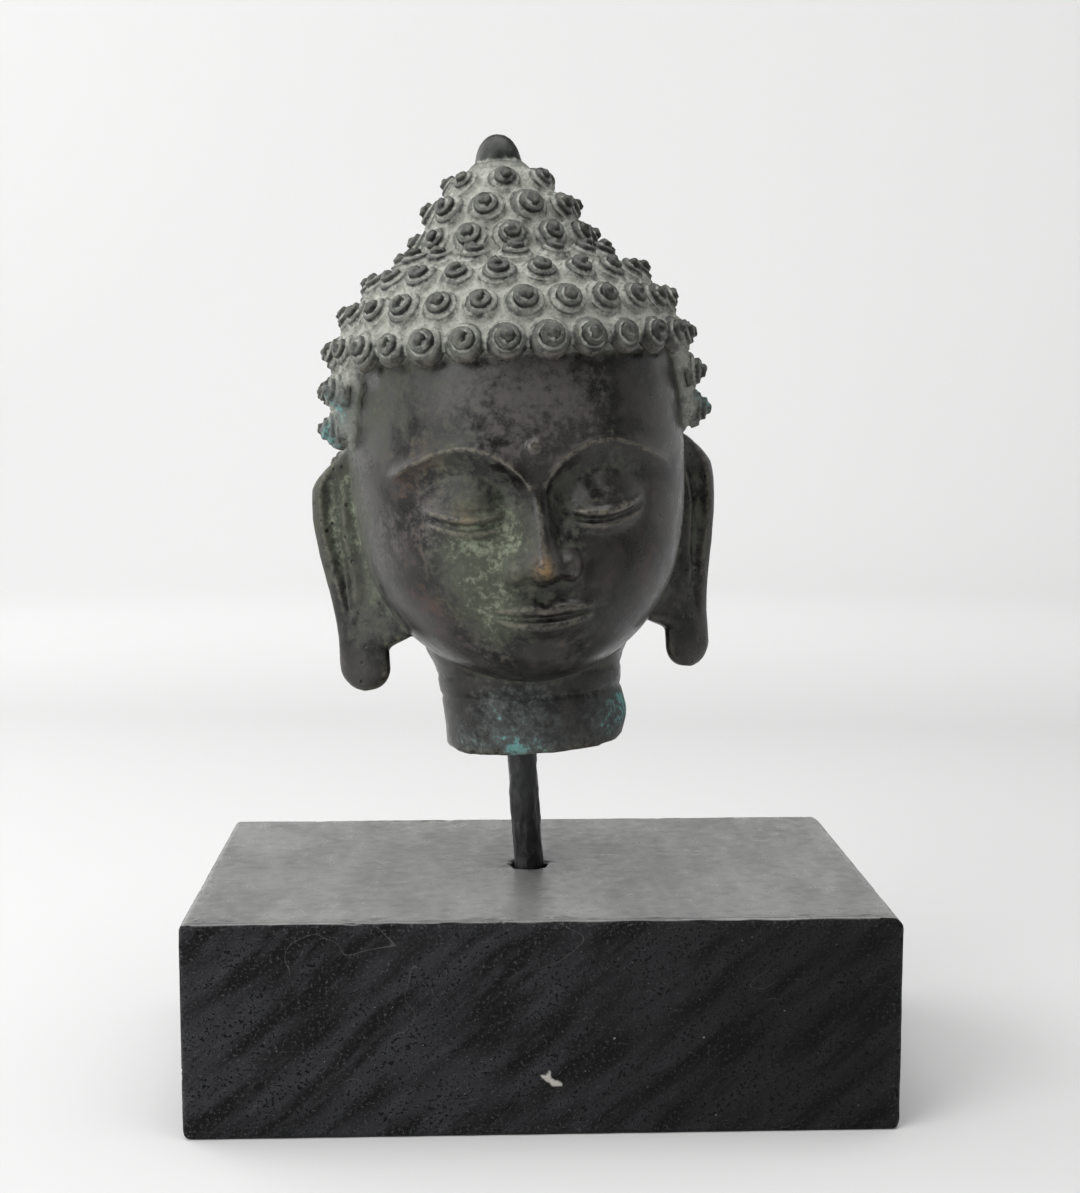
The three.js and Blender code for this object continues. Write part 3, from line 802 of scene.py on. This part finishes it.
def finish_bronze(material):
    """Dark metal with a pale grey sheen painted on, then what age has laid on it, from the thinnest film to
    the dust and the wear.
    """
    f = Finish(material)
    hair, dust, ledge, groove, dip, ear = f.kept("hair", "dust", "ledge", "groove", "dip", "ear")
    green, teal, rust, painted_sheen, gold = f.kept("green", "teal", "rust", "painted_sheen", "gold")
    cloud = f.noise(12, 2.0, 0.6)
    mottle = f.noise(4.5, 3.0, 0.65)
    crumb = f.noise(1.5, 3.0, 0.7)
    grit = f.noise(0.6, 1.0, 0.6)
    ragged = f.plus(f.step(mottle, 0.2, 0.8, -0.45, 0.45), f.step(crumb, 0.2, 0.8, -0.4, 0.4))

    colour = f.mix(f.step(cloud, 0.38, 0.66), *METAL)
    colour = f.mix(f.times(f.step(mottle, 0.5, 0.72), 0.5), colour, MOTTLED_METAL)
    # Painted sheen: a pale purple-grey mottle where the light's sheen would fall on the face.
    painted_sheen_share = f.times(f.step(f.plus(painted_sheen, ragged), 0.0, 1.1), f.step(painted_sheen, 0.02, 0.3), 0.8)
    colour = f.mix(painted_sheen_share, colour, f.mix(crumb, *PAINTED_SHEEN))
    colour = f.mix(f.times(hair, 0.9), colour, f.mix(f.step(mottle, 0.35, 0.7), *CURL_METAL))
    colour = f.mix(f.times(f.step(f.plus(rust, ragged), 0.2, 1.1), 0.7), colour, RUST)
    in_dip = f.times(f.step(f.plus(dip, ragged), 0.05, 0.9), f.step(dip, 0.0, 0.25), 0.6)
    colour = f.mix(in_dip, colour, DIRT)
    film = f.step(f.plus(green, f.times(ragged, 0.6)), 0.05, 0.95)
    film = f.times(film, f.step(green, 0.02, 0.3))
    colour = f.mix(f.times(film, 0.8), colour, f.mix(crumb, *FILM))
    crust = f.step(f.plus(f.plus(green, f.times(dip, 0.5)), f.times(ragged, 1.2)), 0.85, 1.7)
    crust = f.times(crust, f.step(green, 0.3, 0.7), 0.7)
    colour = f.mix(crust, colour, f.mix(grit, *CRUST))

    in_groove = f.times(f.step(groove, 0.0, 0.14), 0.8)
    on_crest = f.times(f.step(groove, -0.05, -0.25), 0.5)
    settled = f.math("SUBTRACT", f.math("MAXIMUM", dust, in_groove), on_crest)
    thin = f.times(ledge, f.step(f.plus(dip, ragged), -1.9, 0.4), 0.75)
    colour = f.mix(thin, colour, f.mix(crumb, *THIN_DUST))
    powder = f.step(f.plus(settled, f.times(ragged, 0.6)), 0.1, 1.1)
    powder = f.times(powder, hair, f.step(grit, 0.2, 0.6, 0.6, 1.0))
    colour = f.mix(powder, colour, f.mix(crumb, *POWDER))
    haze = f.times(f.step(f.plus(teal, f.times(ragged, 0.7)), 0.1, 0.9), f.step(teal, 0.05, 0.25))
    colour = f.mix(f.times(haze, 0.8), colour, f.mix(crumb, *HAZE))
    salts = f.times(f.step(f.plus(teal, ragged), 0.75, 1.2), f.step(teal, 0.2, 0.5))
    colour = f.mix(f.times(salts, 0.85), colour, f.mix(crumb, *SALTS))
    from_pit = f.cells(PIT_SPACING)
    pits = f.times(f.step(from_pit, 0.10, 0.17, 1.0, 0.0), ear, f.step(mottle, 0.45, 0.52))
    colour = f.mix(f.times(pits, 0.9), colour, PIT)
    worn = f.times(f.step(groove, -0.06, -0.28), f.step(crumb, 0.32, 0.6), f.blend(hair, 0.6, 0.15))
    colour = f.mix(worn, colour, WORN_METAL)
    polish = f.times(gold, f.step(crumb, 0.3, 0.6))
    colour = f.mix(polish, colour, GOLD)

    dull = powder
    for layer in (in_dip, film, haze, thin):
        dull = f.math("MAXIMUM", dull, layer)
    gloss = f.plus(f.step(mottle, 0.3, 0.7, 0.25, 0.38), f.times(hair, 0.10))
    crumbly = f.times(crumb, f.plus(f.blend(ear, 0.12, 0.3), f.times(dust, 0.7)))
    relief_height = f.math("SUBTRACT", crumbly, f.times(f.step(from_pit, 0.08, 0.2, 1.0, 0.0), ear))
    f.shade({
        "Base Color": colour,
        "Roughness": f.blend(dull, gloss, 0.80),
        "Metallic": f.times(f.math("MAXIMUM", worn, polish), 0.7),
        "Specular IOR Level": f.blend(dull, 0.32, 0.18),
        "Normal": f.bump(relief_height, 0.35),
    })


finish_bronze(bronze)
head.data.materials.clear()
head.data.materials.append(bronze)
head.data.shade_smooth()
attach(head, "root")
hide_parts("head")

# The rod
# A length of 8 mm iron bar, brushed with thick black paint that has run, and painted a paler grey near the
# head as a highlight.
# It stands in the block's hole and goes up through the neck's hollow into the casting.

ROD_RADIUS, PAINT_RUN = 4.0, 0.28
ROD_LOW, ROD_HIGH = -30.0, NECK_GAP + 36.0
PAINT = (0.0025, 0.0025, 0.003), (0.007, 0.007, 0.008)
PAINTED_HIGHLIGHT_GREY = (0.022, 0.023, 0.025)
BARE_IRON = (0.060, 0.052, 0.045)


def rod_skin():
    """The bar with softened ends, and with runs of paint down its sides."""
    ends = np.array([0.0, 0.25, 0.5])
    z = np.concatenate([ROD_LOW + ends, np.arange(ROD_LOW + 1, ROD_HIGH - 0.9, 0.6), ROD_HIGH - ends[::-1]])
    radius = np.full(len(z), ROD_RADIUS - 0.25)
    radius[[0, -1]] -= 0.5
    radius[[1, -2]] -= 0.13
    angle = turning(72)
    rings = np.empty((len(z), len(angle), 3))
    for i, level in enumerate(z):
        for j, a in enumerate(angle):
            run = noise.fractal((1.6 * math.cos(a), 1.6 * math.sin(a), level * 0.16), 1.0, 2.0, 3)
            r = radius[i] + PAINT_RUN * max(-1, min(1, 1.4 * run))
            rings[i, j] = (r * math.sin(a), -r * math.cos(a), level)
    return skin(rings)


def finish_iron(material):
    """Black paint with a paler grey highlight painted on below the head, and small bare places."""
    f = Finish(material)
    run = f.noise(9, 4.0, 0.6)
    chip = f.noise(1.6, 3.0, 0.6)
    height = node(f.tree, "ShaderNodeSeparateXYZ", {0: f.place}).outputs[2]
    upper = f.step(f.plus(height, f.times(run, 0.02)), 0.074, 0.088)
    colour = f.mix(f.step(run, 0.35, 0.7), *PAINT)
    # Painted highlight: the upper end of the rod, below the head, is painted a paler grey to stand for light
    # shining on it.
    colour = f.mix(f.times(upper, 0.8), colour, PAINTED_HIGHLIGHT_GREY)
    bare = f.times(f.step(chip, 0.63, 0.70), f.blend(upper, 0.25, 1.0))
    colour = f.mix(bare, colour, BARE_IRON)
    f.shade({
        "Base Color": colour,
        "Roughness": f.step(run, 0.2, 0.8, 0.25, 0.5),
        "Specular IOR Level": 0.4,
        "Normal": f.bump(f.math("SUBTRACT", run, f.times(bare, 0.5)), 0.3),
    })


rod_points, rod_faces = rod_skin()
rod = mesh_object("iron_rod", moved(rod_points, ROD_FRAME), rod_faces)
rod.data.materials.append(bpy.data.materials.new("black painted iron"))
finish_iron(rod.data.materials[0])
rod.data.shade_smooth()
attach(rod, "root")
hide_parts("rod")

# The block
# A sawn piece of two inch hardwood, stained black, with open pores in slanting bands on its front.
# Its top was smoothed by rubbing to a satin finish and is painted a paler grey, partly for that finish and
# partly as light falling on it from above; its edges are worn round, and the rod's hole is chipped.

BLOCK = np.array([170.0, 104.0, 52.0])
FRONT_RADII = (2.5, 3.0, 4.0, 2.0)
PLAN_RADII = (1.5, 2.0, 7.0, 3.0)
END_RADII = (1.0, 1.0, 2.0, 1.2)
FINE_GRID, COARSE_GRID = 0.45, 1.6
HOLE_RADIUS, HOLE_DEPTH = 4.4, 9.0
SOFT_WEAR, NICK_DEPTH, SAW_DEPTH = 0.15, 0.6, 0.07
CHIP_PLACE = (1.4, -52.0, 13.5)
CHIP_SLIVERS = ((-0.4, 0.2, -0.5, 2.3, 0.7), (1.4, -0.9, -0.15, 1.6, 0.8), (-0.3, 1.3, 1.2, 1.3, 0.45))
SAWN = (0.0040, 0.0040, 0.0045), (0.030, 0.030, 0.033)
STREAK = (0.046, 0.047, 0.051)
RAISED_GRAIN = (0.125, 0.127, 0.134)
PAINTED_SHADE = (0.002, 0.002, 0.002)
PORE = (0.001, 0.001, 0.001)
RUBBED_AND_LIT = (0.110, 0.110, 0.108), (0.165, 0.165, 0.161)
SMEAR = (0.210, 0.210, 0.204)
SPOT = (0.075, 0.075, 0.075)
EDGE_WEAR = (0.085, 0.085, 0.090)
FLECK = (0.32, 0.31, 0.29)
FIBRE = (0.22, 0.22, 0.21)
CHIPPED = (0.52, 0.50, 0.46)
HOLE_DARKENING = (0.012, 0.011, 0.010)


def grid_lines(half, fine_edge, centre):
    """Grid lines across a face, close together at its edges and round a centre."""
    lines = [-half, half]
    lines += [s * (half - v) for s in (-1, 1) for v in np.arange(FINE_GRID, fine_edge, FINE_GRID)]
    lines += list(np.arange(-half + fine_edge, half - fine_edge, COARSE_GRID))
    lines += list(np.arange(centre - 8, centre + 8, FINE_GRID))
    lines = np.unique(np.round(lines, 3))
    return lines[np.concatenate([[True], np.diff(lines) > 0.12])]


def rounded(points, first, second, radii):
    """Brings points on the box onto round edges seen along the third axis, one radius per corner."""
    signs = ((-1, -1), (1, -1), (1, 1), (-1, 1))
    half = BLOCK / 2
    for (sx, sy), radius in zip(signs, radii):
        u = points[:, first] * sx - (half[first] - radius)
        v = points[:, second] * sy - (half[second] - radius)
        at = (u > 0) & (v > 0)
        length = np.hypot(u, v)
        scale = np.where(at, np.minimum(1, radius / np.maximum(length, 1e-9)), 1)
        points[:, first] = np.where(at, sx * (half[first] - radius + u * scale), points[:, first])
        points[:, second] = np.where(at, sy * (half[second] - radius + v * scale), points[:, second])
    return points


def block_mesh():
    """Six gridded faces of the box about its middle, which meet but aren't joined yet."""
    half = BLOCK / 2
    lines = [
        grid_lines(half[0], 7, ROD_FOOT[0]),
        grid_lines(half[1], 7, ROD_FOOT[1]),
        grid_lines(half[2], 6, CHIP_PLACE[2] - half[2]),
    ]
    points, faces, start = [], [], 0
    for axis in range(3):
        u, v = (axis + 1) % 3, (axis + 2) % 3
        for sign in (-1, 1):
            a, b = np.meshgrid(lines[u], lines[v], indexing="ij")
            side = np.empty((a.size, 3))
            side[:, axis] = sign * half[axis]
            side[:, u] = a.ravel()
            side[:, v] = b.ravel()
            i, j = np.meshgrid(np.arange(a.shape[0] - 1), np.arange(a.shape[1] - 1), indexing="ij")
            corner = start + i * a.shape[1] + j
            after = corner + a.shape[1]
            quad = np.stack([corner, after, after + 1, corner + 1], -1).reshape(-1, 4)
            faces += (quad if sign > 0 else quad[:, ::-1]).tolist()
            points.append(side)
            start += len(side)
    return np.concatenate(points), faces


block_points, block_faces = block_mesh()
block_points = rounded(block_points, 0, 2, FRONT_RADII)
block_points = rounded(block_points, 0, 1, PLAN_RADII)
block_points = rounded(block_points, 1, 2, END_RADII)
block_points[:, 2] += BLOCK[2] / 2
wood = mesh_object("wood_block", block_points * MM, block_faces)
weld = wood.modifiers.new("weld", "WELD")
weld.merge_threshold = 0.02 * MM
wood = baked(wood, "wood_block")
wood.data.update()

wood_points = mesh_points(wood.data) / MM
wood_normals = vertex_normals(wood.data)
inset = np.sort(BLOCK / 2 - np.abs(wood_points - [0, 0, BLOCK[2] / 2]), axis=1)
edge = 1 - rise(0.5, 5.0, inset[:, 1])
wear = fractal(wood_points, 0.11, 11.0)
nick = fractal(wood_points, 0.7, 23.0)
resting = rise(0.2, 1.5, wood_points[:, 2])
dent = edge * (SOFT_WEAR * np.maximum(0, wear) + NICK_DEPTH * rise(0.40, 0.75, nick)) * resting
band = np.sin((wood_points[:, 0] - 1.2 * wood_points[:, 2]) * 0.42 + 2.0 * wear)
on_front = rise(0.7, 0.9, -wood_normals[:, 1])
dent += on_front * SAW_DEPTH * band
wood_points -= wood_normals * dent[:, None]
from_rod = np.hypot(wood_points[:, 0] - ROD_FOOT[0], wood_points[:, 1] - ROD_FOOT[1])
past_hole = from_rod - (HOLE_RADIUS + 0.6 * nick)
on_top = wood_points[:, 2] > BLOCK[2] - 1
sunk = HOLE_DEPTH * (1 - rise(-0.45, 0.25, past_hole)) + 0.5 * (1 - rise(0, 1.6, past_hole))
wood_points[:, 2] -= np.where(on_top, sunk, 0)
wood.data.vertices.foreach_set("co", (wood_points * MM).ravel())
from_chip = wood_points - np.array(CHIP_PLACE)
chip = np.zeros(len(wood_points))
for x, z, slope, length, width in CHIP_SLIVERS:
    right, up = from_chip[:, 0] - x, from_chip[:, 2] - z
    along = right * math.cos(slope) + up * math.sin(slope)
    across = up * math.cos(slope) - right * math.sin(slope)
    chip = np.maximum(chip, mound(along, across, length, width) * (np.abs(from_chip[:, 1]) < 1))
keep(wood.data, "chip", rise(0, 0.5, chip))
keep(wood.data, "edge", edge)
keep(wood.data, "mouth", np.where(on_top, 1 - rise(0, 5, from_rod - HOLE_RADIUS), 0))


def finish_wood(material):
    """Black open grain on the sawn sides, with painted shade towards their right end, and a smoother top
    painted a paler grey, partly for its finish and partly as light from above.
    """
    f = Finish(material)
    edge, mouth, chip = f.kept("edge", "mouth", "chip")
    normal = node(f.tree, "ShaderNodeNewGeometry").outputs["Normal"]
    facing = node(f.tree, "ShaderNodeSeparateXYZ", {0: normal}).outputs
    across = node(f.tree, "ShaderNodeSeparateXYZ", {0: f.place}).outputs[0]
    top = f.step(facing[2], 0.5, 0.9)
    slant = {"Rotation": (0, math.radians(-40), 0), "Scale": (5.0, 1.0, 1.0)}
    streaks = f.noise(2.2, 2.0, 0.6, slant)
    bands = f.noise(6.5, 1.0, 0.5, slant)
    grain = f.noise(0.8, 3.0, 0.8)
    open_grain = f.step(f.plus(streaks, f.times(bands, 0.8)), 0.78, 1.0)
    pores = f.times(f.step(f.noise(0.8, 1.0, 0.6, distortion=0.6), 0.54, 0.62), open_grain)
    cloud = f.noise(30, 2.0, 0.6)
    mottle = f.noise(3.5, 2.0, 0.6)
    smear = f.noise(9, 2.0, 0.6, {"Scale": (1.0, 5.0, 1.0)})

    sawn = f.mix(f.step(bands, 0.38, 0.62), *SAWN)
    sawn = f.mix(f.times(f.step(streaks, 0.45, 0.7), 0.5), sawn, STREAK)
    sawn = f.mix(f.times(f.step(grain, 0.52, 0.72), 0.7), sawn, RAISED_GRAIN)
    # Painted shade: the sawn sides are darkened towards their right-hand end, as if the light came from the
    # left.
    sawn = f.mix(f.step(across, -0.03, 0.07, 0.0, 0.6), sawn, PAINTED_SHADE)
    sawn = f.mix(pores, sawn, PORE)
    # The top is painted a paler grey, partly for its smoothed satin finish and partly as painted light
    # falling on it from above.
    rubbed_and_lit_top = f.mix(f.step(cloud, 0.35, 0.65), *RUBBED_AND_LIT)
    rubbed_and_lit_top = f.mix(f.times(f.step(smear, 0.4, 0.65), 0.5), rubbed_and_lit_top, SMEAR)
    rubbed_and_lit_top = f.mix(f.times(f.step(mottle, 0.5, 0.7), 0.25), rubbed_and_lit_top, SPOT)
    colour = f.mix(top, sawn, rubbed_and_lit_top)
    rim = f.times(edge, f.step(grain, 0.48, 0.72), 0.45)
    colour = f.mix(rim, colour, EDGE_WEAR)
    fleck = f.times(f.step(f.noise(1.0, 1.0, 0.4), 0.755, 0.78), f.step(mottle, 0.45, 0.55), 0.7)
    colour = f.mix(fleck, colour, FLECK)
    off_line = f.math("ABSOLUTE", f.math("SUBTRACT", f.noise(26, 1.0, 0.5, distortion=0.8), 0.5))
    fibre = f.times(f.step(off_line, 0.0, 0.0022, 1.0, 0.0), f.step(cloud, 0.58, 0.62), 0.3)
    colour = f.mix(fibre, colour, FIBRE)
    colour = f.mix(chip, colour, CHIPPED)
    # Darker in blotches round the rim of the rod's hole and down into it.
    colour = f.mix(f.times(mouth, f.step(mottle, 0.35, 0.7)), colour, HOLE_DARKENING)
    raised = f.plus(f.times(grain, 1.1), f.times(streaks, 0.9))
    rough_height = f.times(raised, f.blend(top, 1.0, 0.07))
    f.shade({
        "Base Color": colour,
        "Roughness": f.blend(top, 0.55, f.step(mottle, 0.3, 0.7, 0.27, 0.38)),
        "Specular IOR Level": f.blend(top, 0.13, 0.75),
        "Normal": f.bump(rough_height, 0.9),
    })


wood.data.materials.append(bpy.data.materials.new("blackened wood"))
finish_wood(wood.data.materials[0])
wood.data.shade_smooth()
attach(wood, "root")
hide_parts("block")

# The studio
# A pale round table that bends up all round into a backdrop, lit by soft boxes at the sides, overhead
# and behind, and by a window at the front left. The camera stands where the photograph was taken from.

CAMERA_PLACE = (-0.0164, -0.4605, 0.1729)
CAMERA_YAW = math.radians(-2.16)
CAMERA_PITCH = math.radians(6.26)
FOCAL_PIXELS = 1800
PHOTO_HEIGHT = 1193
SENSOR_WIDTH = 36
TABLE_RADIUS, BEND_RADIUS, TABLE_SIDES = 1.2, 1.0, 96
TABLE_WHITE = (0.60, 0.60, 0.598, 1)
WORLD_LIGHT = 0.06


def sweep():
    """The round table and the backdrop in one sheet, with the bend as a quarter of a circle."""
    bend = np.linspace(0, np.pi / 2, 24)
    radius = np.concatenate([[0.3, 0.6, 0.9], TABLE_RADIUS + BEND_RADIUS * np.sin(bend)])
    z = np.concatenate([[0, 0, 0], BEND_RADIUS * (1 - np.cos(bend))])
    angle = turning(TABLE_SIDES)
    rings = np.stack(np.broadcast_arrays(
        radius[:, None] * np.sin(angle),
        -radius[:, None] * np.cos(angle),
        z[:, None],
    ), -1)
    points = np.concatenate([[[0, 0, 0]], rings.reshape(-1, 3)])
    faces = [[1 + j, 1 + (j + 1) % TABLE_SIDES, 0] for j in range(TABLE_SIDES)]
    for i in range(len(radius) - 1):
        for j in range(TABLE_SIDES):
            low = 1 + i * TABLE_SIDES + j
            after = 1 + i * TABLE_SIDES + (j + 1) % TABLE_SIDES
            faces.append([low, low + TABLE_SIDES, after + TABLE_SIDES, after])
    return points, faces


table = mesh_object("table", *sweep())
table_white = bpy.data.materials.new("white table")
Finish(table_white).shade({"Base Color": TABLE_WHITE, "Roughness": 0.8, "Specular IOR Level": 0.0})
table.data.materials.append(table_white)
table.data.shade_smooth()


def soft_box(name, place, target, size, power):
    """A flat light at a place, turned towards a target, with its size in metres and power in watts."""
    light = bpy.data.lights.new(name, "AREA")
    light.shape = "RECTANGLE"
    light.size, light.size_y = size
    light.energy = power
    lamp = placed(name, light)
    lamp.location = place
    lamp.rotation_euler = (Vector(target) - Vector(place)).to_track_quat("-Z", "Y").to_euler()


soft_box("left soft box", (-0.9, 0.40, 0.6), (0, 0, 0.12), (1.0, 1.1), 8.5)
soft_box("right soft box", (0.9, 0.40, 0.6), (0, 0, 0.12), (1.0, 1.1), 1)
soft_box("overhead soft box", (0, -0.15, 1.3), (0, -0.05, 0.1), (1.5, 1.2), 20)
soft_box("window", (-1.1, -0.9, 0.7), (0, 0, 0.12), (1.0, 1.2), 16)
soft_box("backdrop soft box", (-0.4, 0.7, 1.1), (-0.2, 2.2, 0.9), (2.4, 0.6), 30)

world = bpy.data.worlds.new("studio")
world.use_nodes = True
world.node_tree.nodes["Background"].inputs["Color"].default_value = (1, 1, 1, 1)
world.node_tree.nodes["Background"].inputs["Strength"].default_value = WORLD_LIGHT
bpy.context.scene.world = world
bpy.context.scene.view_settings.view_transform = "Standard"

lens = bpy.data.cameras.new("camera")
lens.sensor_width = SENSOR_WIDTH
lens.lens = SENSOR_WIDTH * FOCAL_PIXELS / PHOTO_HEIGHT
lens.clip_start = 0.01
camera = placed("camera", lens)
camera.location = CAMERA_PLACE
camera.rotation_euler = (math.pi / 2 - CAMERA_PITCH, 0, CAMERA_YAW)
bpy.context.scene.camera = camera
